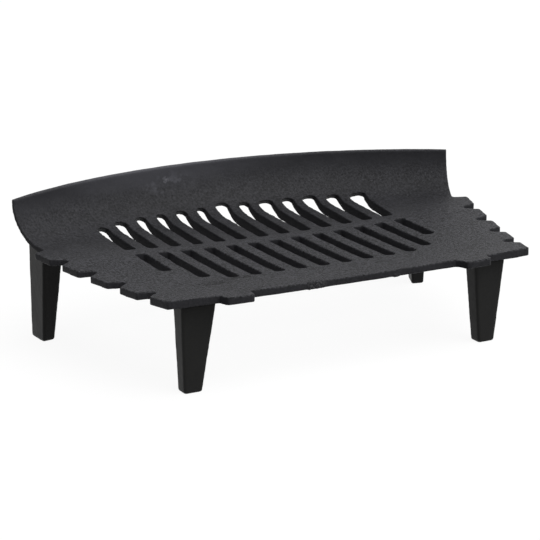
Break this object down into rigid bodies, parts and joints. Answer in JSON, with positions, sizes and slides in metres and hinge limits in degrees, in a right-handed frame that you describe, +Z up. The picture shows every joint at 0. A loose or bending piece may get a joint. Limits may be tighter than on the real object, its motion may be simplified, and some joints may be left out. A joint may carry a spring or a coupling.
{
  "type": "fireplace log grate",
  "caption": "Cast-iron log grate with a dished slotted deck, saw-toothed sides and a bowed wall that curves up along the front, standing on tapered legs.",
  "frame": {"origin": "middle of the grate's own outline in plan, on the hearth plane that the feet stand on", "axes": "+Z up, +Y towards the bowed front wall, +X towards the right-hand end of that wall seen from the back edge"},
  "size_m": [0.464, 0.2922, 0.1364],
  "materials": {
    "deck_iron": "fine sand-cast skin, black, dull",
    "leg_iron": "fine sand-cast skin, black, dull"
  },
  "bodies": {
    "root": {"deck_and_wall_casting": "deck_iron", "back_leg_right": "leg_iron", "back_leg_left": "leg_iron", "front_leg_right": "leg_iron", "front_leg_left": "leg_iron"}
  },
  "joints": []
}
